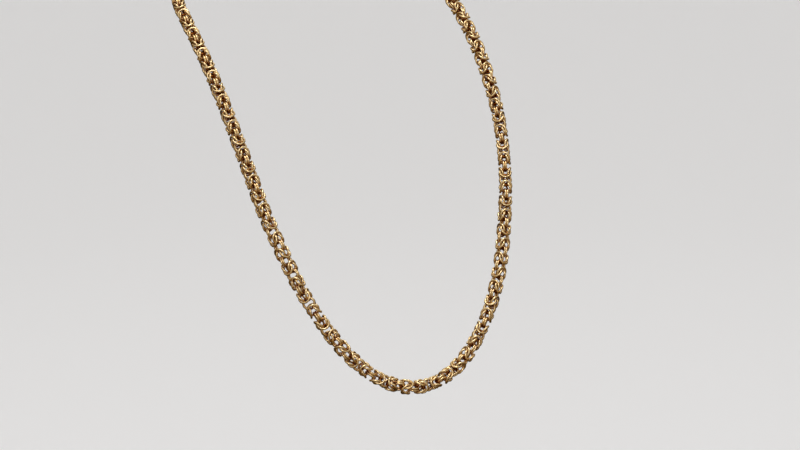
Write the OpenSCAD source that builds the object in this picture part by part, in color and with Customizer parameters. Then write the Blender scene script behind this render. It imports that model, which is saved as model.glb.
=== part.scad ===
// Byzantine chain necklace, in the form that it takes round a neck.
// The woven chain is one long round body here. Its ends sit in two caps at the nape,
// and a claw clasp joins the caps by two rings.
// +Z is up, -Y is out from the chest, and the origin is where the nape carries the chain.

/* [Chain] */
// Width of the woven chain across its rings
chain_w = 4.9; // [4:0.1:6]
// Sides of the round body that the weave fills
chain_sides = 12; // [8:1:12]
// Distance from one section of the body to the next
section_step = 8; // [7:0.5:14]

/* [End caps] */
// Wall of the cap round the chain's end
cap_wall = 0.4; // [0.3:0.05:0.8]
// How far the cap reaches over the chain
cap_reach = 3.6; // [2:0.1:6]
// Thickness of the cap's closed end
cap_floor = 1; // [1:0.1:2]
// Rounding of the cap's closed end
cap_round = 0.9; // [0.4:0.1:0.9]
// Wire of the eye that stands on the cap
cap_eye_wire = 0.8; // [0.6:0.05:1]
// Clear hole through the eye
cap_eye_hole = 1.9; // [1.7:0.1:3]

/* [Rings] */
// Wire of both rings
ring_wire = 0.8; // [0.6:0.05:1]
// Clear hole of the ring that the claw catches
catch_ring_hole = 3.6; // [3.2:0.1:5]
// Clear hole of the ring that the clasp hangs on
link_ring_hole = 3; // [2.6:0.1:5]

/* [Clasp] */
// Length of the clasp from its nose to the end of its eye
clasp_length = 12.6; // [12:0.1:14]
// Height of the claw between the middles of its spine and its lever
claw_height = 4.3; // [4.2:0.1:5.5]
// How much taller the claw is towards its nose, as a share of its height
claw_swell = 0.18; // [0:0.01:0.2]
// Width of the nose
nose_w = 1.3; // [1:0.1:2]
// Width of the spine
spine_w = 1.9; // [1.2:0.1:2.4]
// Width of the lever
lever_w = 1.2; // [0.9:0.1:1.3]
// Diameter of the round base that the lever is riveted to
base_d = 2.9; // [2.4:0.1:3.4]
// Rounding of the base's edge
base_round = 0.4; // [0.2:0.1:0.6]
// Thickness of the claw at its spine and base
claw_t = 2.6; // [1.8:0.1:3.5]
// Thickness at the nose and the lever
nose_t = 1.8; // [1.4:0.1:2.2]
// Radius of the thumb knob on the lever
knob_r = 0.75; // [0.5:0.05:1]
// Diameter of the rivet at the base
rivet_d = 1; // [0.7:0.1:1.4]
// How far the rivet stands out of each face
rivet_head = 0.12; // [0.05:0.01:0.3]
// Wire of the clasp's eye
clasp_eye_wire = 0.9; // [0.7:0.05:1.2]
// Clear hole through the clasp's eye
clasp_eye_hole = 1.8; // [1.6:0.1:3]

/* [Fit] */
// Gap where one linked piece hangs on the next
play = 0.1; // [0.08:0.01:0.2]
// Gap between the chain's end and its cap
seat_gap = 0.3; // [0.25:0.05:0.4]

/* [Hidden] */
gold = [0.83, 0.64, 0.33];
gold_bright = [0.88, 0.70, 0.40];

// The route of the chain's middle, from the chest's midline up the +X side to the nape.
// The loop is a smooth curve steered by these points, and the -X side is its mirror image.
ROUTE = [
    [0, -121.5, -147],
    [14.5, -120, -142.5],
    [25, -117, -132.5],
    [33, -113.5, -120.5],
    [39, -109, -108],
    [43, -104, -95.5],
    [47, -98.5, -82.5],
    [49, -93, -70],
    [51, -86, -58],
    [52, -77.5, -47],
    [53, -68, -37],
    [53.5, -57.5, -28],
    [54, -46, -20],
    [53.5, -34, -13],
    [48, -22, -7.5],
    [39, -11.5, -3.5],
    [27.5, -3.5, -1.5],
    [14, 1.5, 0],
    [0, 3, 0]
];
// Lean of the loop's mean plane from upright, in degrees
loop_lean = 50;
// Steps in which each stretch between two points is measured
fine = 16;
round_fn = 48;
wire_fn = 24;

// Where the loop passes: a uniform cubic B-spline, u counting points up the +X side
spans = len(ROUTE) - 1;
loop = concat(ROUTE, [for (i = [spans - 1:-1:1]) [-ROUTE[i].x, ROUTE[i].y, ROUTE[i].z]]);
function steer(i) = loop[(i + len(loop)) % len(loop)];
function spot(u) =
    let (i = floor(u), t = u - i)
    (pow(1 - t, 3) * steer(i - 1)
    + (3 * pow(t, 3) - 6 * t * t + 4) * steer(i)
    + (3 * t + 3 * t * t - 3 * pow(t, 3) + 1) * steer(i + 1)
    + pow(t, 3) * steer(i + 2)) / 6;
function unit(v) = v / norm(v);
function heading(u) = unit(spot(u + 0.05) - spot(u - 0.05));

// Length along the loop from the chest midline to each fine step
steps = ceil(spans * fine);
stride = spans / steps;
hop = [for (k = [1:steps]) norm(spot(k * stride) - spot((k - 1) * stride))];
runs = [for (k = 0, s = 0; k <= steps; s = s + (k < steps ? hop[k] : 0), k = k + 1) [s, k * stride]];
half_length = runs[steps][0];
function u_at(run) = sign(run) * lookup(abs(run), runs);

// Distances from the nape, out along the loop, of what joins the two ends
link_ring_r = (link_ring_hole + ring_wire) / 2;
catch_ring_r = (catch_ring_hole + ring_wire) / 2;
link_at = clasp_length / 2 - clasp_eye_wire - play - ring_wire / 2 + link_ring_r;
catch_at = clasp_length / 2 - nose_w - play - ring_wire / 2 + catch_ring_r;
eye_offset = cap_eye_hole - ring_wire / 2 - play;
cap_right_at = link_at + link_ring_r + eye_offset;
cap_left_at = catch_at + catch_ring_r + eye_offset;
cap_length = cap_floor + cap_reach;
chain_right_at = cap_right_at + cap_floor + seat_gap;
chain_left_at = cap_left_at + cap_floor + seat_gap;

// The clasp is straight, so it lies on the chord between the rings' near ends
chord_drop = spot(spans).y - spot(u_at(half_length - link_at + link_ring_r)).y;

// Along the clasp: its eye's middle, its base's middle, and the egg that its claw follows
clasp_eye_at = clasp_length / 2 - clasp_eye_wire - clasp_eye_hole / 2;
base_at = clasp_eye_at - (clasp_eye_hole + base_d) / 2;
claw_half = (base_at + clasp_length / 2 - nose_w / 2) / 2;
claw_mid = base_at - claw_half;
claw_steps = 40;
claw_sides = 14;
knob_angle = 310;

// Places a piece on the loop, d from the nape, in line with the loop a little further out
module at_nape(d, further = 0) {
    along = heading(u_at(half_length - d - further));
    out = along.x > 0 ? along : -along;
    translate(spot(u_at(half_length - d))) rotate([0, -asin(out.z), atan2(out.y, out.x)]) children();
}

module wire_ring(hole, wire) {
    rotate_extrude($fn = round_fn) translate([(hole + wire) / 2, 0]) circle(d = wire, $fn = wire_fn);
}

module chain() {
    first = half_length - chain_right_at;
    last = chain_left_at - half_length;
    count = ceil((first - last) / section_step);
    faces_out = [0, -cos(loop_lean), sin(loop_lean)];
    rings = [for (i = [0:count])
        let (u = u_at(first + (last - first) * i / count),
             along = heading(u),
             n = unit(faces_out - (faces_out * along) * along),
             b = cross(along, n))
        for (k = [0:chain_sides - 1])
            let (a = 360 * k / chain_sides)
            spot(u) + chain_w / 2 * (cos(a) * n + sin(a) * b)];
    walls = [for (i = [0:count - 1], k = [0:chain_sides - 1])
        let (j = (k + 1) % chain_sides, low = i * chain_sides, high = low + chain_sides)
        [low + k, low + j, high + j, high + k]];
    start = [for (k = [chain_sides - 1:-1:0]) k];
    end = [for (k = [0:chain_sides - 1]) count * chain_sides + k];
    color(gold) polyhedron(rings, concat([start], walls, [end]));
}

module end_cap() {
    bore_r = chain_w / 2 + seat_gap;
    outer_r = bore_r + cap_wall;
    rotate([0, 90, 0]) rotate_extrude($fn = round_fn) difference() {
        union() {
            translate([0, cap_round]) square([outer_r, cap_length - cap_round]);
            square([outer_r - cap_round, cap_length]);
            translate([outer_r - cap_round, cap_round]) circle(r = cap_round, $fn = round_fn);
        }
        translate([0, cap_floor]) square([bore_r, cap_length]);
        translate([-outer_r, 0]) square([outer_r, cap_length]);
    }
    translate([-cap_eye_hole / 2, 0, 0]) rotate([90, 0, 0]) wire_ring(cap_eye_hole, cap_eye_wire);
}

module cap_right() {
    color(gold_bright) at_nape(cap_right_at, cap_length / 2) end_cap();
}

module cap_left() {
    color(gold_bright) mirror([1, 0, 0]) at_nape(cap_left_at, cap_length / 2) end_cap();
}

module link_ring() {
    color(gold_bright) at_nape(link_at) wire_ring(link_ring_hole, ring_wire);
}

module catch_ring() {
    color(gold_bright) mirror([1, 0, 0]) at_nape(catch_at) wire_ring(catch_ring_hole, ring_wire);
}

// The claw's widths blend from nose to spine to base to lever as the angle goes round
function blend(a, nose, spine, base, lever) =
    nose * pow(max(cos(a), 0), 2) + spine * pow(max(sin(a), 0), 2)
    + base * pow(max(-cos(a), 0), 2) + lever * pow(max(-sin(a), 0), 2);
function claw_spot(a) =
    [claw_mid - claw_half * cos(a), 0, claw_height / 2 * sin(a) * (1 + claw_swell * cos(a))];

module claw() {
    skin = [for (i = [0:claw_steps - 1])
        let (a = 360 * i / claw_steps,
             along = unit(claw_spot(a + 1) - claw_spot(a - 1)),
             outward = cross(along, [0, 1, 0]),
             w = blend(a, nose_w, spine_w, lever_w, lever_w),
             t = blend(a, nose_t, claw_t, claw_t, nose_t))
        for (k = [0:claw_sides - 1])
            let (b = 360 * k / claw_sides)
            claw_spot(a) + w / 2 * cos(b) * outward + [0, t / 2 * sin(b), 0]];
    walls = [for (i = [0:claw_steps - 1], k = [0:claw_sides - 1])
        let (j = (k + 1) % claw_sides,
             low = i * claw_sides,
             high = ((i + 1) % claw_steps) * claw_sides)
        [low + k, low + j, high + j, high + k]];
    polyhedron(skin, walls);
}

module base_disc() {
    rotate_extrude($fn = round_fn) {
        square([base_d / 2, claw_t / 2 - base_round]);
        square([base_d / 2 - base_round, claw_t / 2]);
        translate([base_d / 2 - base_round, claw_t / 2 - base_round]) intersection() {
            circle(r = base_round, $fn = round_fn);
            square(base_round);
        }
    }
}

module clasp() {
    color(gold_bright) translate([0, -chord_drop, 0]) at_nape(0) {
        claw();
        translate([clasp_eye_at, 0, 0]) rotate([90, 0, 0]) wire_ring(clasp_eye_hole, clasp_eye_wire);
        translate([base_at, 0, 0]) rotate([90, 0, 0]) {
            base_disc();
            mirror([0, 0, 1]) base_disc();
            cylinder(d = rivet_d, h = claw_t + 2 * rivet_head, center = true, $fn = wire_fn);
        }
        translate(claw_spot(knob_angle) - [0, 0, lever_w / 2]) sphere(r = knob_r, $fn = wire_fn);
    }
}

chain();
cap_left();
cap_right();
catch_ring();
link_ring();
clasp();
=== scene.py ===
# %% [markdown]
# # A byzantine neck chain, link by link
# A byzantine chain is woven from small plain rings of gold wire. Each knot has two pairs of rings that
# are folded back over each other, and a pair of rings ties one knot to the next, a quarter turn on.
# A maker buys or winds the rings, closes them one by one and solders each joint.
#
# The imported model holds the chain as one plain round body, with its two end caps, two rings and the
# clasp at the nape. This lesson keeps those pieces where they are and gives the chain its real links.
# Everything is in metres: +Z is up, -Y is out from the chest, and the origin is at the nape.

import math

import bmesh
import bpy
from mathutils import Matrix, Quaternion, Vector


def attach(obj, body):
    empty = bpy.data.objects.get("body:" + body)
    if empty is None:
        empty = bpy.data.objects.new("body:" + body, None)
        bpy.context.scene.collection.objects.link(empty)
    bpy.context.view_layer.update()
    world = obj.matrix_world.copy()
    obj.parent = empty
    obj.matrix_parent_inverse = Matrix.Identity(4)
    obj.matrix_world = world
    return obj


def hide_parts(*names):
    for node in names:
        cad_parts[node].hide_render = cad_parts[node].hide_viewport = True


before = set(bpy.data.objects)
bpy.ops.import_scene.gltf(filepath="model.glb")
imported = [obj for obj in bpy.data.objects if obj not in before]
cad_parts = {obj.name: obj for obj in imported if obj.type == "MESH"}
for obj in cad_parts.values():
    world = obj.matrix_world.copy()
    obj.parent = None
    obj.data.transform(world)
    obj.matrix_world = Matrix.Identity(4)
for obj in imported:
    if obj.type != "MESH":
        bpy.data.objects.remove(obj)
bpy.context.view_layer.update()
print("nodes:", sorted(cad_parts))

# %% [markdown]
# ## The camera
# The photograph looks at the chain from a little above the chest, and from the side of the strand that
# is on the left. A camera could be turned by three angles, but a place, a point to aim at and a small
# roll are easier to picture and to correct. The lens is long, because the far strand is hardly smaller
# than the near one.

# %% Stand the camera where the photograph was taken
camera_place = Vector((-0.2593, -0.6698, 0.0283))
camera_aim = Vector((0.0000, -0.1078, -0.0907))
camera_roll = math.radians(-1.5)
camera_lens = 81.7

camera = bpy.data.objects.new("camera", bpy.data.cameras.new("camera"))
bpy.context.scene.collection.objects.link(camera)
camera.data.lens = camera_lens
camera.data.clip_start = 0.01
camera.location = camera_place
camera.rotation_mode = "QUATERNION"
sight = (camera_aim - camera_place).to_track_quat("-Z", "Y")
camera.rotation_quaternion = sight @ Quaternion((0, 0, 1), camera_roll)
bpy.context.scene.camera = camera
print("camera to aim point: %.3f m" % (camera_aim - camera_place).length)

# %% [markdown]
# ## The sizes of the weave
# All the rings are alike, so two sizes make the ring: the wire's thickness and the clear hole. The rest
# says how the rings lie in a knot. The half repeat is the distance from one tying pair to the next.
# These values leave a hair's breadth between all neighbours on a straight run, as in a supple chain.
# Real rings give way to each other in a bend. These don't, so some of them cut into each other there,
# the worst by a fifth of a millimetre, at the bottom of the U. That is too little to see in the picture.
#
# There are hundreds of rings, so each gets few faces: twelve steps round the ring and five sides round
# the wire. A five-sided wire looks thinner than a round one, unless its corners reach a little further.

# %% Name the sizes of the rings and of the weave
mm = 0.001
wire = 0.75 * mm
ring_hole = 3.2 * mm
ring_radius = (ring_hole + wire) / 2
half_repeat = 5.4 * mm
pair_gap = 0.4 * mm
side_step = 1.17 * mm
drop = 0.14 * mm
lean = math.radians(23)
ring_steps = 12
wire_sides = 5
corner_reach = 1.07

print("ring across: %.2f mm" % ((ring_hole + 2 * wire) / mm))
print("chain across: %.2f mm" % (2 * (side_step + ring_radius * math.sin(lean) + wire / 2) / mm))

# %% [markdown]
# ## The route round the neck
# A worn chain hangs down the chest in a long U, and goes up over the shoulders to the nape. It could be
# a Blender curve drawn by hand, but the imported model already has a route: a smooth curve steered by a
# few points on one side, with the other side as its mirror image. The same points are used here, so the
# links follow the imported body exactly.

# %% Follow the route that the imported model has
ROUTE = (  # x, y and z in metres, from the bottom of the U up to the nape
    (0.0000, -0.1215, -0.1470),
    (0.0145, -0.1200, -0.1425),
    (0.0250, -0.1170, -0.1325),
    (0.0330, -0.1135, -0.1205),
    (0.0390, -0.1090, -0.1080),
    (0.0430, -0.1040, -0.0955),
    (0.0470, -0.0985, -0.0825),
    (0.0490, -0.0930, -0.0700),
    (0.0510, -0.0860, -0.0580),
    (0.0520, -0.0775, -0.0470),
    (0.0530, -0.0680, -0.0370),
    (0.0535, -0.0575, -0.0280),
    (0.0540, -0.0460, -0.0200),
    (0.0535, -0.0340, -0.0130),
    (0.0480, -0.0220, -0.0075),
    (0.0390, -0.0115, -0.0035),
    (0.0275, -0.0035, -0.0015),
    (0.0140, 0.0015, 0.0000),
    (0.0000, 0.0030, 0.0000),
)
route_steps = 24
spans = len(ROUTE) - 1
right_side = [Vector(point) for point in ROUTE]
left_side = [Vector((-p.x, p.y, p.z)) for p in right_side[1:-1]]
loop_points = right_side + left_side[::-1]


def route_spot(u):
    """The place on the uniform cubic B-spline, where u counts points up the +X side from the chest."""
    i = math.floor(u)
    t = u - i
    weights = ((1 - t) ** 3, 3 * t**3 - 6 * t**2 + 4, 1 + 3 * t + 3 * t**2 - 3 * t**3, t**3)
    near = [loop_points[(i + k - 1) % len(loop_points)] for k in range(4)]
    return sum((w * p for w, p in zip(weights, near)), Vector()) / 6


route = [route_spot(k / route_steps) for k in range(-spans * route_steps, spans * route_steps + 1)]
travelled = [0.0]
for start, end in zip(route, route[1:]):
    travelled.append(travelled[-1] + (end - start).length)
half_length = travelled[-1] / 2
print("whole loop: %.1f mm" % (travelled[-1] / mm))

# %% [markdown]
# ## How the chain turns about itself, and where it is slack
# A byzantine chain isn't round: from one side it shows open pairs of rings, and a quarter turn on it
# shows their edges. A worn chain also lies twisted, so this picture changes along it. In the photograph
# the chain turns more than once between its two upper ends, and fastest at the bottom of the U. It is
# slack as well: the rings can slide a little on each other, and they hang nearer together in one place
# than in another, by a few hundredths of their spacing.
#
# Two short tables give the turn and the slide at a few distances from the bottom, read off the
# photograph against test pictures. A noise would look as natural, but it wouldn't be this chain.

# %% Set the turn and the slide at a few places
TURN = (  # distance from the chest midline, towards +X, and turn in degrees
    (-240, 115),
    (-170, 110),
    (-115, 95),
    (-85, 90),
    (-70, 75),
    (-50, 40),
    (-30, -15),
    (-10, -80),
    (10, -175),
    (30, -255),
    (45, -305),
    (65, -335),
    (90, -375),
    (115, -400),
    (135, -430),
    (155, -445),
    (170, -435),
    (240, -420),
)
SLIDE = (  # distance from the chest midline, and how far the rings lie from an even spread, in mm
    (-240, 0.0),
    (-170, 1.0),
    (-120, 0.5),
    (-85, -0.9),
    (-60, -0.8),
    (-20, -0.1),
    (30, 0.55),
    (100, 0.1),
    (150, -0.5),
    (240, 0.0),
)
print("turn from end to end: %.0f degrees" % (TURN[0][1] - TURN[-1][1]))
print("most slide: %.1f mm" % max(abs(slide) for place, slide in SLIDE))

# %% [markdown]
# ## Smooth curves through the tables
# Straight lines between the entries would give the chain a kink in its turn at each of them. So the
# curve through a table takes its slope at an entry from the two neighbours, and blends from one entry
# to the next. The values are stored on the points of the route, where the node tree can read them.

# %% Store the turn and the slide along the route
def table_slope(table, i):
    """How fast the value grows at entry i, from its two neighbours."""
    before = table[max(i - 1, 0)]
    after = table[min(i + 1, len(table) - 1)]
    return (after[1] - before[1]) / (after[0] - before[0])


def read_table(table, distance):
    """The value at this distance in mm, on a smooth curve through the table."""
    d = min(max(distance, table[0][0]), table[-1][0])
    i = max(k for k in range(len(table) - 1) if table[k][0] <= d)
    (d0, value0), (d1, value1) = table[i], table[i + 1]
    width = d1 - d0
    t = (d - d0) / width
    value = (2 * t**3 - 3 * t**2 + 1) * value0 + (3 * t**2 - 2 * t**3) * value1
    value += (t**3 - 2 * t**2 + t) * width * table_slope(table, i)
    value += (t**3 - t**2) * width * table_slope(table, i + 1)
    return value


route_mesh = bpy.data.meshes.new("route")
route_mesh.from_pydata(route, [(k, k + 1) for k in range(len(route) - 1)], [])
turn_layer = route_mesh.attributes.new("turn", "FLOAT", "POINT")
slide_layer = route_mesh.attributes.new("slide", "FLOAT", "POINT")
for k, length in enumerate(travelled):
    from_chest = (length - half_length) / mm
    turn_layer.data[k].value = math.radians(read_table(TURN, from_chest))
    slide_layer.data[k].value = read_table(SLIDE, from_chest) * mm
print("route points:", len(route_mesh.vertices))

# %% [markdown]
# ## A few helpers for node trees
# A node tree made by hand on the screen is hard to pass on, so this one is built in the script. A few
# small helpers keep it readable: they find and fill a socket, add a node and plug in what it needs, do
# the sums, and make a group with named inputs.

# %% Make the helpers
def find_socket(sockets, name):
    """The socket in use that has this name."""
    return next(s for s in sockets if s.enabled and s.name == name)


def plug(tree, value, socket):
    """Links an output to the socket, or sets the socket's own value."""
    if isinstance(value, bpy.types.NodeSocket):
        tree.links.new(value, socket)
    else:
        socket.default_value = value


def add_node(tree, kind, settings=None, **inputs):
    """Adds a node. Its inputs are named as on the screen, with _ for a space."""
    node = tree.nodes.new(kind)
    for name, value in (settings or {}).items():
        setattr(node, name, value)
    for name, value in inputs.items():
        plug(tree, value, find_socket(node.inputs, name.replace("_", " ")))
    return node


def calculate(tree, operation, a, b=0.0, c=0.0):
    """The result of one sum."""
    node = tree.nodes.new("ShaderNodeMath")
    node.operation = operation
    for value, socket in zip((a, b, c), node.inputs):
        plug(tree, value, socket)
    return node.outputs[0]


def new_group(name, inputs, result):
    """A geometry group with these (name, type, value) inputs. Returns it, its inputs and its output."""
    tree = bpy.data.node_groups.new(name, "GeometryNodeTree")
    for label, kind, value in inputs:
        socket = tree.interface.new_socket(label, in_out="INPUT", socket_type="NodeSocket" + kind)
        if value is not None:
            socket.default_value = value
    tree.interface.new_socket(result, in_out="OUTPUT", socket_type="NodeSocketGeometry")
    sources = tree.nodes.new("NodeGroupInput").outputs
    target = tree.nodes.new("NodeGroupOutput").inputs[0]
    return tree, sources, target


print("helpers:", ", ".join(f.__name__ for f in (find_socket, plug, add_node, calculate, new_group)))

# %% [markdown]
# ## One kind of ring, all along the chain
# In each half repeat there are six rings, and each has its own place in the knot. So the weave is six
# rows of rings, and a row is the same ring again and again, one half repeat on and a quarter turn on.
# An array modifier on a curve could copy a knot along the route, but it would bend and squeeze the
# rings. Instancing keeps each ring round and stiff, and only sets it down in another place.

# %% Open the group that lays one row of rings
row_inputs = (
    ("Route", "Geometry", None),
    ("Ring", "Geometry", None),
    ("Count", "Int", 2),
    ("Start", "Float", 0.0),
    ("Half Repeat", "Float", 0.0),
    ("Quarter Turns", "Float", 0.0),
    ("Side", "Float", 0.0),
    ("Along", "Float", 0.0),
    ("Lean", "Float", 0.0),
    ("Facing", "Vector", None),
    ("Wobble", "Float", 0.0),
    ("Seed", "Int", 0),
)
row_tree, row_in, row_out = new_group("row of rings", row_inputs, "Rings")
print("inputs of a row:", len(row_inputs))

# %% [markdown]
# ## Where each ring sits
# The group samples the route at each ring's distance, slide included. There it stands a small frame,
# with its Z along the route and its X the way that the chain faces, and turns it by the stored turn and
# by a quarter more for each knot. The ring then steps out to one side of that frame.

# %% Find the place of each ring
number = row_tree.nodes.new("GeometryNodeInputIndex").outputs[0]
curve = add_node(row_tree, "GeometryNodeMeshToCurve", Mesh=row_in["Route"]).outputs[0]


def sample_route(stored, distance):
    """The place, the way on and a stored value at a distance along the route."""
    value = add_node(row_tree, "GeometryNodeInputNamedAttribute", {"data_type": "FLOAT"}, Name=stored)
    node = add_node(
        row_tree,
        "GeometryNodeSampleCurve",
        {"mode": "LENGTH", "data_type": "FLOAT"},
        Curves=curve,
        Value=find_socket(value.outputs, "Attribute"),
        Length=distance,
    )
    return node.outputs["Position"], node.outputs["Tangent"], find_socket(node.outputs, "Value")


even = calculate(row_tree, "MULTIPLY_ADD", number, row_in["Half Repeat"], row_in["Start"])
slide = sample_route("slide", even)[2]
distance = calculate(row_tree, "ADD", calculate(row_tree, "ADD", even, slide), row_in["Along"])
spot, way_on, stored_turn = sample_route("turn", distance)
facing = add_node(
    row_tree,
    "FunctionNodeAxesToRotation",
    {"primary_axis": "Z", "secondary_axis": "X"},
    Primary_Axis=way_on,
    Secondary_Axis=row_in["Facing"],
)
quarters = calculate(row_tree, "ADD", number, row_in["Quarter Turns"])
turn = calculate(row_tree, "MULTIPLY_ADD", quarters, math.pi / 2, stored_turn)
twist = add_node(row_tree, "FunctionNodeAxisAngleToRotation", Axis=(0, 0, 1), Angle=turn)
knot = add_node(
    row_tree,
    "FunctionNodeRotateRotation",
    {"rotation_space": "LOCAL"},
    Rotation=facing.outputs[0],
    Rotate_By=twist.outputs[0],
)
step_out = add_node(row_tree, "ShaderNodeCombineXYZ", X=row_in["Side"])
side_way = add_node(
    row_tree,
    "FunctionNodeRotateVector",
    Vector=step_out.outputs[0],
    Rotation=knot.outputs[0],
)
place = add_node(row_tree, "ShaderNodeVectorMath", {"operation": "ADD"})
plug(row_tree, spot, place.inputs[0])
plug(row_tree, side_way.outputs[0], place.inputs[1])
print("row group so far:", len(row_tree.nodes), "nodes")

# %% [markdown]
# ## How each ring stands
# A ring that stands upright has its axis across the chain, and a leaning one is tipped from there. A
# little wobble keeps the row from looking like a print, and each ring gets a number of its own, for its
# tone. Both are random, so each kind of draw has its own fixed seed and comes out the same every time.

# %% Stand the rings in their places
tilt_draw, lean_draw, tone_draw = 1.0, 2.0, 3.0


def wobble_angle(own_seed):
    """A small random angle for each ring."""
    limits = row_in["Wobble"]
    seed = calculate(row_tree, "ADD", row_in["Seed"], own_seed)
    draw = add_node(
        row_tree,
        "FunctionNodeRandomValue",
        {"data_type": "FLOAT"},
        Min=calculate(row_tree, "MULTIPLY", limits, -1.0),
        Max=limits,
        Seed=seed,
    )
    return find_socket(draw.outputs, "Value")


upright = calculate(row_tree, "SUBTRACT", math.pi / 2, row_in["Lean"])
stance = add_node(
    row_tree,
    "ShaderNodeCombineXYZ",
    X=wobble_angle(tilt_draw),
    Y=calculate(row_tree, "ADD", upright, wobble_angle(lean_draw)),
)
stance = add_node(row_tree, "FunctionNodeEulerToRotation", Euler=stance.outputs[0])
pose = add_node(
    row_tree,
    "FunctionNodeRotateRotation",
    {"rotation_space": "LOCAL"},
    Rotation=knot.outputs[0],
    Rotate_By=stance.outputs[0],
)
points = add_node(row_tree, "GeometryNodePoints", Count=row_in["Count"], Position=place.outputs[0])
rings = add_node(
    row_tree,
    "GeometryNodeInstanceOnPoints",
    Points=points.outputs[0],
    Instance=row_in["Ring"],
    Rotation=pose.outputs[0],
)
own_tone = add_node(
    row_tree,
    "FunctionNodeRandomValue",
    {"data_type": "FLOAT"},
    Seed=calculate(row_tree, "ADD", row_in["Seed"], tone_draw),
)
toned = add_node(
    row_tree,
    "GeometryNodeStoreNamedAttribute",
    {"data_type": "FLOAT", "domain": "INSTANCE"},
    Geometry=rings.outputs[0],
    Name="tone",
    Value=find_socket(own_tone.outputs, "Value"),
)
plug(row_tree, toned.outputs[0], row_out)
print("row group:", len(row_tree.nodes), "nodes")

# %% [markdown]
# ## The six rows of the weave
# The table is the whole recipe of the weave. The two tying rings stand upright between two knots. In a
# knot, one pair leans together towards the end that it holds, and the other pair, a quarter turn on,
# leans together the other way. The ring itself is a circle with a smaller circle run round it.

# %% List the rows and make the ring
ROWS = (  # name, quarter turns, side, along from the knot's middle, lean
    ("tying ring, near", 0, pair_gap, -half_repeat / 2, 0),
    ("tying ring, far", 0, -pair_gap, -half_repeat / 2, 0),
    ("first pair, near", 0, side_step, -drop, lean),
    ("first pair, far", 0, -side_step, -drop, -lean),
    ("second pair, near", 1, side_step, drop, -lean),
    ("second pair, far", 1, -side_step, drop, lean),
)
weave_inputs = (
    ("Route", "Geometry", None),
    ("Ring Radius", "Float", ring_radius),
    ("Wire Radius", "Float", corner_reach * wire / 2),
    ("Ring Steps", "Int", ring_steps),
    ("Wire Sides", "Int", wire_sides),
    ("First Knot", "Float", 0.0),
    ("Knots", "Int", 1),
    ("Half Repeat", "Float", half_repeat),
    ("Facing", "Vector", None),
    ("Wobble", "Float", 0.0),
    ("Seed", "Int", 1),
    ("Gold", "Material", None),
)
weave_tree, weave_in, weave_out = new_group("byzantine weave", weave_inputs, "Chain")

ring_line = add_node(
    weave_tree,
    "GeometryNodeCurvePrimitiveCircle",
    Resolution=weave_in["Ring Steps"],
    Radius=weave_in["Ring Radius"],
)
wire_line = add_node(
    weave_tree,
    "GeometryNodeCurvePrimitiveCircle",
    Resolution=weave_in["Wire Sides"],
    Radius=weave_in["Wire Radius"],
)
ring = add_node(
    weave_tree,
    "GeometryNodeCurveToMesh",
    Curve=ring_line.outputs[0],
    Profile_Curve=wire_line.outputs[0],
)
print("rows:", ", ".join(row[0] for row in ROWS))

# %% [markdown]
# ## All rows together
# Each row of the table becomes one use of the group, with its own numbers and a seed far enough from
# the others. There is one tying pair more than there are knots, because the weave has one at each end.
# All rows begin a quarter turn on, because the table of turns counts from there.

# %% Lay the six rows
seed_step = 10.0
first_quarter = 1
all_rows = weave_tree.nodes.new("GeometryNodeJoinGeometry")
for count, (name, quarter_turns, side, along, ring_lean) in enumerate(ROWS):
    row = weave_tree.nodes.new("GeometryNodeGroup")
    row.node_tree = row_tree
    row.label = name
    extra = 1 if name.startswith("tying") else 0
    settings = {
        "Route": weave_in["Route"],
        "Ring": ring.outputs[0],
        "Count": calculate(weave_tree, "ADD", weave_in["Knots"], extra),
        "Start": weave_in["First Knot"],
        "Half Repeat": weave_in["Half Repeat"],
        "Quarter Turns": quarter_turns + first_quarter,
        "Side": side,
        "Along": along,
        "Lean": ring_lean,
        "Facing": weave_in["Facing"],
        "Wobble": weave_in["Wobble"],
        "Seed": calculate(weave_tree, "ADD", weave_in["Seed"], seed_step * count),
    }
    for label, value in settings.items():
        plug(weave_tree, value, row.inputs[label])
    weave_tree.links.new(row.outputs[0], all_rows.inputs[0])
print("rows laid:", len(ROWS))

# %% [markdown]
# ## Making the rings real
# At the end the rings are made real, because a file for other programs holds no instances. Each point
# also stores how far it lies from the chain's middle. The material uses it for painted shade, a brown
# that deepens towards the middle, and for wire that is less polished in there.

# %% Finish the tree
real = add_node(weave_tree, "GeometryNodeRealizeInstances", Geometry=all_rows.outputs[0])
to_middle = weave_tree.nodes.new("GeometryNodeProximity")
to_middle.target_element = "EDGES"
plug(weave_tree, weave_in["Route"], to_middle.inputs[0])
stored = add_node(
    weave_tree,
    "GeometryNodeStoreNamedAttribute",
    {"data_type": "FLOAT", "domain": "POINT"},
    Geometry=real.outputs[0],
    Name="from_middle",
    Value=to_middle.outputs["Distance"],
)
smooth = add_node(weave_tree, "GeometryNodeSetShadeSmooth", Geometry=stored.outputs[0])
gilded = add_node(
    weave_tree, "GeometryNodeSetMaterial", Geometry=smooth.outputs[0], Material=weave_in["Gold"]
)
plug(weave_tree, gilded.outputs[0], weave_out)
print("weave tree:", len(weave_tree.nodes), "nodes")

# %% [markdown]
# ## Polished gold wire
# The chain is yellow gold, drawn to wire and tumbled until it shines. On camera such a chain is mostly
# a picture of its surroundings, so the colour of the metal does two things: it tints each reflection
# once on the outside, and again and again where light bounces between rings, which gives the deep
# brown between them. That brown is also painted into the colour, as painted shade that deepens towards
# the chain's middle. A plain metal with one colour would look flat, so the tone differs a little from
# ring to ring, the polish fades towards the chain's middle, and a fine grain breaks the shine. A number
# that is the same all over stays on the shader's own socket.
#
# Two golds are needed, one for the wire and one for the cast pieces, and they share a few helpers.

# %% Make the helpers for materials
def mix_colour(tree, factor, first, second):
    """One colour into the other, by a factor from 0 to 1."""
    node = tree.nodes.new("ShaderNodeMix")
    node.data_type = "RGBA"
    plug(tree, factor, node.inputs[0])
    plug(tree, first, node.inputs[6])
    plug(tree, second, node.inputs[7])
    return node.outputs[2]


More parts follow.
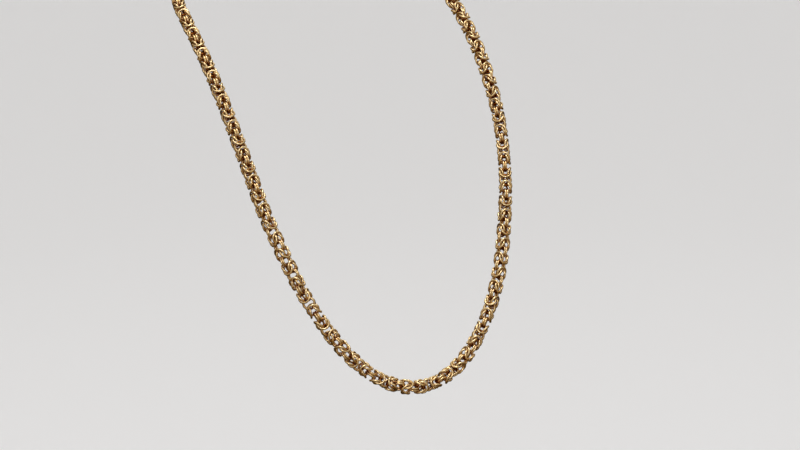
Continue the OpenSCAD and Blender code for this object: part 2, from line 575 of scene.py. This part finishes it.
def to_range(tree, value, low, high, new_low, new_high):
    """A value from one range, mapped to another and kept inside it."""
    settings = dict(From_Min=low, From_Max=high, To_Min=new_low, To_Max=new_high)
    return add_node(tree, "ShaderNodeMapRange", Value=value, **settings).outputs[0]


def new_gold(name):
    """A metal material with an empty place for its colour. Returns it, its tree and its shader."""
    material = bpy.data.materials.new(name)
    material.use_nodes = True
    tree = material.node_tree
    shader = tree.nodes["Principled BSDF"]
    shader.inputs["Metallic"].default_value = 1.0
    return material, tree, shader


def grain(tree, size, detail=3.0):
    """Noise that is fixed to the piece, with features of about this size."""
    place = tree.nodes.new("ShaderNodeTexCoord").outputs["Object"]
    return add_node(tree, "ShaderNodeTexNoise", Vector=place, Scale=1 / size, Detail=detail).outputs["Fac"]


def roughen(tree, shader, strength, depth, size):
    """Fine unevenness of the surface, in bump only."""
    bump = add_node(tree, "ShaderNodeBump", Strength=strength, Distance=depth, Height=grain(tree, size))
    plug(tree, bump.outputs[0], shader.inputs["Normal"])


print("helpers:", ", ".join(f.__name__ for f in (mix_colour, to_range, new_gold, grain, roughen)))

# %% [markdown]
# ## The gold of the wire
# The colour is mixed twice. First each ring gets its own share of a paler gold. Then it goes to a deep
# brown near the chain's middle, a painted shade for the gaps, where hardly any light gets in. Wear keeps
# only the outside polished, so the wire also gets duller on the way in.

# %% Mix the gold of the wire
def wire_gold():
    """Gold of the rings: brighter outside, browner in painted shade and duller towards the chain's middle.
    """
    material, tree, shader = new_gold("polished gold wire")
    outside = (0.95, 0.71, 0.37, 1)
    # inside is the painted shade: the deep brown where the gaps between the rings are
    inside = (0.36, 0.10, 0.008, 1)
    pale = (0.98, 0.79, 0.49, 1)
    most_pale = 0.5
    dark_up_to, bright_from = 0.8 * mm, 2.25 * mm
    smoothest, most_worn, duller_inside = 0.07, 0.15, 0.12
    patch_size, noise_low, noise_high = 0.6 * mm, 0.35, 0.7
    from_middle = tree.nodes.new("ShaderNodeAttribute")
    from_middle.attribute_name = "from_middle"
    tone = tree.nodes.new("ShaderNodeAttribute")
    tone.attribute_name = "tone"
    # the mix towards inside paints shade into the colour near the chain's middle
    reach = to_range(tree, from_middle.outputs["Fac"], dark_up_to, bright_from, 0, 1)
    own = mix_colour(tree, calculate(tree, "MULTIPLY", tone.outputs["Fac"], most_pale), outside, pale)
    plug(tree, mix_colour(tree, reach, inside, own), shader.inputs["Base Color"])
    worn = to_range(tree, grain(tree, patch_size), noise_low, noise_high, smoothest, most_worn)
    dull = calculate(tree, "MULTIPLY_ADD", calculate(tree, "SUBTRACT", 1.0, reach), duller_inside, worn)
    plug(tree, dull, shader.inputs["Roughness"])
    roughen(tree, shader, strength=0.1, depth=0.01 * mm, size=0.3 * mm)
    return material


chain_gold = wire_gold()
print("chain:", chain_gold.name, "with", len(chain_gold.node_tree.nodes), "nodes")

# %% [markdown]
# ## The gold of the cast pieces
# The caps, the two rings and the clasp have no gaps like those of the weave, so their gold is the same
# all through. They are handled each time that the chain is put on, which leaves faint rubbed patches.

# %% Mix the gold of the cast pieces
def cast_gold():
    """Gold of the caps, rings and clasp, with faint handling marks."""
    material, tree, shader = new_gold("polished cast gold")
    untouched = (0.88, 0.62, 0.33, 1)
    handled = (0.95, 0.70, 0.40, 1)
    smoothest, most_worn = 0.09, 0.20
    rubbed_size, scratch_size, scratch_detail = 1.5 * mm, 0.8 * mm, 5.0
    rubbed = to_range(tree, grain(tree, rubbed_size), 0.35, 0.65, 0, 1)
    plug(tree, mix_colour(tree, rubbed, untouched, handled), shader.inputs["Base Color"])
    scratches = grain(tree, scratch_size, scratch_detail)
    worn = to_range(tree, scratches, 0.3, 0.7, smoothest, most_worn)
    plug(tree, worn, shader.inputs["Roughness"])
    roughen(tree, shader, strength=0.1, depth=0.03 * mm, size=0.4 * mm)
    return material


findings_gold = cast_gold()
print("findings:", findings_gold.name, "with", len(findings_gold.node_tree.nodes), "nodes")

# %% [markdown]
# ## Weaving the chain
# The tree goes on the route as a modifier. Its inputs are set by the sockets' own identifiers before
# the chain is looked at for the first time. Then the result is kept as a plain mesh, and the route
# and its modifier aren't needed any more. The first pair sits in the left cap and the last one in the
# right cap, and the count between them is an even spread of half repeats.

# %% Weave the chain along the route
pairs_to_the_left = 45
pair_past_the_chest = 2.51 * mm
knots = 89
first_knot = half_length + pair_past_the_chest - (pairs_to_the_left - 0.5) * half_repeat
loop_lean = math.radians(50)
weave_settings = {
    "First Knot": first_knot,
    "Knots": knots,
    "Facing": (0, -math.cos(loop_lean), math.sin(loop_lean)),
    "Wobble": math.radians(1.2),
    "Seed": 7,
    "Gold": chain_gold,
}


def run_tree(source, tree, settings, name):
    """The plain mesh that the tree makes of the source object, as a new object."""
    modifier = source.modifiers.new("weave", "NODES")
    modifier.node_group = tree
    for item in tree.interface.items_tree:
        if item.in_out == "INPUT" and item.name in settings:
            modifier[item.identifier] = settings[item.name]
    graph = bpy.context.evaluated_depsgraph_get()
    mesh = bpy.data.meshes.new_from_object(source.evaluated_get(graph))
    source.modifiers.remove(modifier)
    mesh.name = name
    piece = bpy.data.objects.new(name, mesh)
    bpy.context.scene.collection.objects.link(piece)
    return piece


route_object = bpy.data.objects.new("route", route_mesh)
bpy.context.scene.collection.objects.link(route_object)
weave = run_tree(route_object, weave_tree, weave_settings, "weave")
bpy.data.objects.remove(route_object)
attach(weave, "root")
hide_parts("chain")
print("rings: %g" % (len(weave.data.polygons) / ring_steps / wire_sides), "faces:", len(weave.data.polygons))

# %% [markdown]
# ## The claw clasp
# The clasp is cast: an egg-shaped claw, a round base where its lever is riveted, a knob for the thumb
# nail, and an eye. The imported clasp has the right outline, but its claw is made of flat facets, and in
# polished gold each facet would shine on its own. A subdivision modifier would round them off and draw
# in the eye and the base as well. So the same sizes and the same rule make it again with a finer skin.

# %% Name the sizes of the clasp
clasp_length = 12.6 * mm
eye_hole = 1.8 * mm
eye_wire = 0.9 * mm
base_across = 2.9 * mm
base_round = 0.4 * mm
claw_height = 4.3 * mm
claw_swell = 0.18
widths = {"nose": 1.3 * mm, "spine": 1.9 * mm, "base": 1.2 * mm, "lever": 1.2 * mm}
depths = {"nose": 1.8 * mm, "spine": 2.6 * mm, "base": 2.6 * mm, "lever": 1.8 * mm}
knob_radius = 0.75 * mm
knob_angle = math.radians(310)
rivet_across = 1.0 * mm
rivet_head = 0.12 * mm

eye_at = clasp_length / 2 - eye_wire - eye_hole / 2
base_at = eye_at - (eye_hole + base_across) / 2
claw_half = (base_at + clasp_length / 2 - widths["nose"] / 2) / 2
claw_middle = base_at - claw_half
packed_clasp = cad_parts["clasp"].data.vertices
nearest, furthest = (pick(v.co.y for v in packed_clasp) for pick in (min, max))
clasp_place = Vector((0, (nearest + furthest) / 2, 0))
print("clasp at y = %.2f mm" % (clasp_place.y / mm))

# %% [markdown]
# ## Shapes for casting
# A caster's wax model is put together from a bent bar and a few turned bits, and so is this one. One
# helper tells where the claw's bar runs, and one tells how thick it is there, blended from the nose to
# the spine, the base and the lever. The others lay faces over rows of points, and turn a disc or a ball.

# %% Build the helpers for cast shapes
def claw_spot(angle):
    """The middle of the claw's bar. The angle is 0 at the nose and goes up over the spine."""
    height = claw_height / 2 * math.sin(angle) * (1 + claw_swell * math.cos(angle))
    return Vector((claw_middle - claw_half * math.cos(angle), 0, height))


def claw_size(angle, sizes):
    """A width or a depth of the bar at this angle, between those of the four places."""
    c, s = math.cos(angle), math.sin(angle)
    share = {"nose": max(c, 0), "spine": max(s, 0), "base": max(-c, 0), "lever": max(-s, 0)}
    return sum(sizes[place] * share[place] ** 2 for place in sizes)


def add_loops(mesh, loops, closed):
    """Faces from each loop of points to the next. A loop of one point is a pole."""
    made = [[mesh.verts.new(clasp_place + spot) for spot in loop] for loop in loops]
    for low, high in zip(made, made[1:] + made[:1] if closed else made[1:]):
        for k in range(max(len(low), len(high))):
            corners = [low[k % len(low)], low[(k + 1) % len(low)]]
            corners += [high[(k + 1) % len(high)], high[k % len(high)]]
            mesh.faces.new(dict.fromkeys(corners))


def add_turned(mesh, profile, at, steps):
    """A body turned about the Y axis, from (radius, height) pairs that start and end on the axis."""
    angles = [2 * math.pi * k / steps for k in range(steps)]
    loops = []
    for radius, height in profile:
        spots = [Vector((radius * math.cos(a), height, radius * math.sin(a))) + at for a in angles]
        loops.append(spots if radius > 0 else spots[:1])
    add_loops(mesh, loops, closed=False)


def rounded_edge(radius, height, rounding, steps=6):
    """The (radius, height) pairs of one half of a disc: round its edge, then in to the axis."""
    quarter = [math.pi / 2 * k / steps for k in range(steps + 1)]
    edge = [(radius - rounding * (1 - math.cos(a)), height - rounding * (1 - math.sin(a))) for a in quarter]
    return edge + [(0, height)]


print("claw spans", round((claw_spot(math.pi) - claw_spot(0)).length / mm, 1), "mm")

# %% [markdown]
# ## The claw
# The claw is one closed bar. Each step round it gets an oval section that stands square to the bar's
# way on, which is the line from a spot just behind to a spot just ahead.

# %% Shape the claw
claw_steps = 72
claw_sides = 20
small_angle = 0.01
cast = bmesh.new()
bar = []
for step in range(claw_steps):
    angle = 2 * math.pi * step / claw_steps
    ahead = (claw_spot(angle + small_angle) - claw_spot(angle - small_angle)).normalized()
    outward = ahead.cross(Vector((0, 1, 0)))
    half_width, half_depth = claw_size(angle, widths) / 2, claw_size(angle, depths) / 2
    section = []
    for side in range(claw_sides):
        turn = 2 * math.pi * side / claw_sides
        oval = half_width * math.cos(turn) * outward + half_depth * math.sin(turn) * Vector((0, 1, 0))
        section.append(claw_spot(angle) + oval)
    bar.append(section)
add_loops(cast, bar, closed=True)
print("claw faces:", len(cast.faces))

# %% [markdown]
# ## The eye, the base and the knob
# The eye is a ring for the link ring. The base is a flat disc with a rounded edge, the rivet is a
# smaller disc that stands a little proud of it, and the knob is a ball under the lever. They are sunk
# into each other like lumps of wax, which the casting makes one.

# %% Add the eye, the base, the rivet and the knob
disc_steps = 48
eye_steps = 48
eye_sides = 16
ball_steps = 24
ball_rows = 12

eye_radius = (eye_hole + eye_wire) / 2
eye = []
for step in range(eye_steps):
    angle = 2 * math.pi * step / eye_steps
    out = Vector((math.cos(angle), 0, math.sin(angle)))
    turns = [2 * math.pi * side / eye_sides for side in range(eye_sides)]
    wire_spots = [eye_wire / 2 * (math.cos(t) * out + math.sin(t) * Vector((0, 1, 0))) for t in turns]
    eye.append([Vector((eye_at, 0, 0)) + eye_radius * out + spot for spot in wire_spots])
add_loops(cast, eye, closed=True)

for across, height, rounding in (
    (base_across, depths["base"] / 2, base_round),
    (rivet_across, depths["base"] / 2 + rivet_head, rivet_head),
):
    upper = rounded_edge(across / 2, height, rounding)
    lower = [(radius, -height) for radius, height in upper[::-1]]
    add_turned(cast, lower + upper, Vector((base_at, 0, 0)), disc_steps)

knob_at = claw_spot(knob_angle) - Vector((0, 0, widths["lever"] / 2))
arc = [math.pi * k / ball_rows - math.pi / 2 for k in range(ball_rows + 1)]
ball = [(knob_radius * math.cos(a), knob_radius * math.sin(a)) for a in arc[1:-1]]
add_turned(cast, [(0, -knob_radius)] + ball + [(0, knob_radius)], knob_at, ball_steps)
print("cast faces:", len(cast.faces))

# %% [markdown]
# ## Finishing the clasp
# Smooth shading hides the faces of the claw, but it would also smear the rims of the base and the
# rivet. So edges that are sharper than a limit stay crisp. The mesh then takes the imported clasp's place.

# %% Finish the clasp
crisp_from = math.radians(40)
bmesh.ops.recalc_face_normals(cast, faces=cast.faces)
for face in cast.faces:
    face.smooth = True
clasp_mesh = bpy.data.meshes.new("claw_clasp")
cast.to_mesh(clasp_mesh)
cast.free()
clasp_mesh.set_sharp_from_angle(angle=crisp_from)
clasp_mesh.materials.append(findings_gold)
clasp = bpy.data.objects.new("claw_clasp", clasp_mesh)
bpy.context.scene.collection.objects.link(clasp)
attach(clasp, "root")
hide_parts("clasp")
print("clasp faces:", len(clasp_mesh.polygons))

# %% [markdown]
# ## The caps and the rings
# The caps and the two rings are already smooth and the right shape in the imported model, so they stay
# and only get their gold.

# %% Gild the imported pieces
for name in ("cap_left", "cap_right", "catch_ring", "link_ring"):
    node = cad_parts[name]
    node.data.materials.clear()
    node.data.materials.append(findings_gold)
print("gilded the caps and the rings")

# %% [markdown]
# ## The studio
# The floor and the wall are one pale sweep with no corner. Gold mirrors whatever is around it, and a
# jeweller's studio keeps the pale paper out of the metal with black flags, because gold needs dark
# surroundings to show its form. Here the sweep isn't seen in reflections, which does the same.

# %% Build the floor and the wall
floor_level = -0.30
floor_radius = 3.2
bend_radius = 2.2
wall_height = 4.0
sweep_sides = 96
bend_steps = 24
merge_distance = 1e-4

profile = [(0.0, floor_level), (floor_radius - bend_radius, floor_level)]
for step in range(1, bend_steps + 1):
    angle = math.pi / 2 * step / bend_steps
    reach = floor_radius - bend_radius + bend_radius * math.sin(angle)
    profile.append((reach, floor_level + bend_radius * (1 - math.cos(angle))))
profile.append((floor_radius, wall_height))

sweep_mesh = bmesh.new()
corners = [sweep_mesh.verts.new((reach, 0, height)) for reach, height in profile]
edges = [sweep_mesh.edges.new(pair) for pair in zip(corners, corners[1:])]
bmesh.ops.spin(
    sweep_mesh,
    geom=corners + edges,
    cent=(0, 0, 0),
    axis=(0, 0, 1),
    angle=2 * math.pi,
    steps=sweep_sides,
)
bmesh.ops.remove_doubles(sweep_mesh, verts=sweep_mesh.verts, dist=merge_distance)
bmesh.ops.recalc_face_normals(sweep_mesh, faces=sweep_mesh.faces)
bmesh.ops.reverse_faces(sweep_mesh, faces=sweep_mesh.faces)
for face in sweep_mesh.faces:
    face.smooth = True
floor = bpy.data.objects.new("floor", bpy.data.meshes.new("floor"))
sweep_mesh.to_mesh(floor.data)
sweep_mesh.free()
bpy.context.scene.collection.objects.link(floor)
print("floor %.2f m under the nape" % -floor_level)

# %% [markdown]
# ## The paper
# Studio paper is matt and pale. It glows a little of its own, because the lights are set for the gold
# and would leave it grey.

# %% Cover the sweep with paper
paper_white = (0.67, 0.67, 0.68, 1)
glow_colour = (1.0, 0.99, 0.97, 1)
glow = 0.2
matt = 0.9
paper = bpy.data.materials.new("pale paper")
paper.use_nodes = True
paper_shader = paper.node_tree.nodes["Principled BSDF"]
paper_shader.inputs["Base Color"].default_value = paper_white
paper_shader.inputs["Roughness"].default_value = matt
paper_shader.inputs["Emission Color"].default_value = glow_colour
paper_shader.inputs["Emission Strength"].default_value = glow
floor.data.materials.append(paper)
floor.visible_glossy = False
print("floor material:", paper.name)

# %% [markdown]
# ## The lights
# Two softboxes hang over the chain, one towards the front. They give the bright lines on the wires. A
# large one would be softer still, but wire as thin as this needs small lights for crisp lines.

# %% Hang the lights
LIGHTS = (  # name, place, width, watts
    ("front softbox", (-0.35, -1.15, 0.60), 0.35, 1.4),
    ("top softbox", (-0.05, -0.12, 1.30), 0.6, 5.0),
)
chain_middle = Vector((0, -0.07, -0.08))
for name, place, width, watts in LIGHTS:
    lamp = bpy.data.lights.new(name, "AREA")
    lamp.size = width
    lamp.energy = watts
    light = bpy.data.objects.new(name, lamp)
    light.location = place
    light.rotation_mode = "QUATERNION"
    light.rotation_quaternion = (chain_middle - Vector(place)).to_track_quat("-Z", "Y")
    light.visible_camera = False
    bpy.context.scene.collection.objects.link(light)
print("lights:", len(LIGHTS))

# %% [markdown]
# ## The light of the room
# In the photograph the gold is brightest where it mirrors what is above it, less bright towards the
# front, and nearly black where it mirrors the ground behind and below. A picture of a room could give
# such light, but a few numbers do it as well: how bright the room is all round, how much brighter it
# gets upwards and towards the front, and one soft window far behind, which lights the back of the
# chain. The darker the room is, the browner it gets, like old wood. The Standard view then shows these
# brightnesses as they are, where the usual one would fade the brightest lines on the wires.

# %% Shade the room from top to bottom and from front to back
room_level = 0.22
room_upwards = 0.34
room_to_the_front = 0.22
room_overhead = 0.14
room_darkest = 0.05
window_glow = 1.0
window_edge = 8.0
front_way = (-0.41, -0.91, 0.0)
window_way = (0.38, 0.83, 0.41)
dim_level, bright_level = 0.1, 0.55
dim_colour = (1.0, 0.66, 0.22, 1)
bright_colour = (1.0, 0.98, 0.95, 1)

world = bpy.data.worlds.new("room")
world.use_nodes = True
room = world.node_tree
way = room.nodes.new("ShaderNodeTexCoord").outputs["Generated"]


def part_along(direction):
    """How far the way that is looked at points along a direction, from -1 to 1."""
    node = room.nodes.new("ShaderNodeVectorMath")
    node.operation = "DOT_PRODUCT"
    plug(room, way, node.inputs[0])
    plug(room, direction, node.inputs[1])
    return node.outputs["Value"]


upwards = part_along((0, 0, 1))
level = calculate(room, "MULTIPLY_ADD", upwards, room_upwards, room_level)
level = calculate(room, "MULTIPLY_ADD", part_along(front_way), room_to_the_front, level)
overhead = calculate(room, "MULTIPLY", calculate(room, "MULTIPLY", upwards, upwards), room_overhead)
level = calculate(room, "MAXIMUM", calculate(room, "ADD", level, overhead), room_darkest)
window = calculate(room, "POWER", calculate(room, "MAXIMUM", part_along(window_way), 0.0), window_edge)
level = calculate(room, "MULTIPLY_ADD", window, window_glow, level)
air = room.nodes["Background"]
lit = to_range(room, level, dim_level, bright_level, 0, 1)
plug(room, mix_colour(room, lit, dim_colour, bright_colour), air.inputs["Color"])
plug(room, level, air.inputs["Strength"])
bpy.context.scene.world = world
bpy.context.scene.view_settings.view_transform = "Standard"
print("room brightness above, in front and behind: %.2f, %.2f, %.2f" % (
    room_level + room_upwards + room_overhead,
    room_level + room_to_the_front,
    max(room_level - room_to_the_front, room_darkest),
))
